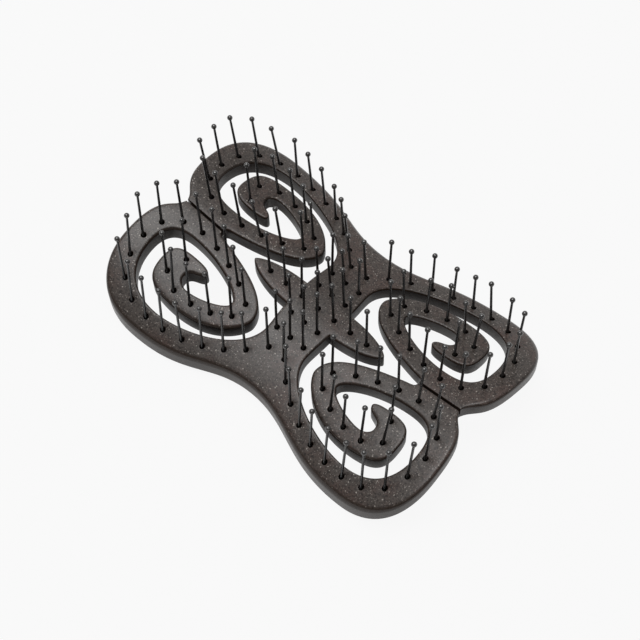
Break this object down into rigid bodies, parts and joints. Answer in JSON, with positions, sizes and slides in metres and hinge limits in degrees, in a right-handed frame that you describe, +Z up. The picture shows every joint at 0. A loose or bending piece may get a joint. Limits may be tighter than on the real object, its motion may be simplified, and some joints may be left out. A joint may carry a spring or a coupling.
{
  "type": "styling brush",
  "caption": "Palm-held butterfly-shaped styling brush: a slotted saddle-shaped plate whose spiral arms flex, with rows of ball-tipped pins standing on it.",
  "frame": {"origin": "middle of the rectangle that the brush covers, on the surface that its rim rests on", "axes": "+X along the brush, +Y across it, +Z up along the pins"},
  "size_m": [0.1112, 0.0702, 0.0362],
  "materials": {
    "plate_plastic": "satin dark grey-brown moulded plastic with fine pale and reddish flecks",
    "pin_nylon": "smooth black-brown nylon"
  },
  "bodies": {
    "frame": {"frame_front_plate": "plate_plastic", "frame_back_cover": "plate_plastic", "spine_pins": "pin_nylon", "bridge_pins": "pin_nylon", "front_left_rim_pins": "pin_nylon", "front_left_arm_flexure": "plate_plastic", "front_right_rim_pins": "pin_nylon", "front_right_arm_flexure": "plate_plastic", "rear_left_rim_pins": "pin_nylon", "rear_left_arm_flexure": "plate_plastic", "rear_right_rim_pins": "pin_nylon", "rear_right_arm_flexure": "plate_plastic"},
    "front_left_arm": {"front_left_arm_front_plate": "plate_plastic", "front_left_arm_back_cover": "plate_plastic", "front_left_arm_pins": "pin_nylon"},
    "front_right_arm": {"front_right_arm_front_plate": "plate_plastic", "front_right_arm_back_cover": "plate_plastic", "front_right_arm_pins": "pin_nylon"},
    "rear_left_arm": {"rear_left_arm_front_plate": "plate_plastic", "rear_left_arm_back_cover": "plate_plastic", "rear_left_arm_pins": "pin_nylon"},
    "rear_right_arm": {"rear_right_arm_front_plate": "plate_plastic", "rear_right_arm_back_cover": "plate_plastic", "rear_right_arm_pins": "pin_nylon"}
  },
  "joints": [
    {"name": "front_left_arm_twist", "type": "hinge", "parent": "frame", "child": "front_left_arm", "pos_m": [0.02989, 0.00519, 0.01268], "axis": [1, 0, 0], "range_deg": [-10, 10], "stiffness_Nm_per_rad": 0.086, "deforming": ["front_left_arm_flexure"]},
    {"name": "front_right_arm_twist", "type": "hinge", "parent": "frame", "child": "front_right_arm", "pos_m": [0.02989, -0.00519, 0.01268], "axis": [-1, 0, 0], "range_deg": [-10, 10], "stiffness_Nm_per_rad": 0.086, "deforming": ["front_right_arm_flexure"]},
    {"name": "rear_left_arm_twist", "type": "hinge", "parent": "frame", "child": "rear_left_arm", "pos_m": [-0.02989, 0.00519, 0.01268], "axis": [1, 0, 0], "range_deg": [-10, 10], "stiffness_Nm_per_rad": 0.086, "deforming": ["rear_left_arm_flexure"]},
    {"name": "rear_right_arm_twist", "type": "hinge", "parent": "frame", "child": "rear_right_arm", "pos_m": [-0.02989, -0.00519, 0.01268], "axis": [-1, 0, 0], "range_deg": [-10, 10], "stiffness_Nm_per_rad": 0.086, "deforming": ["rear_right_arm_flexure"]}
  ]
}
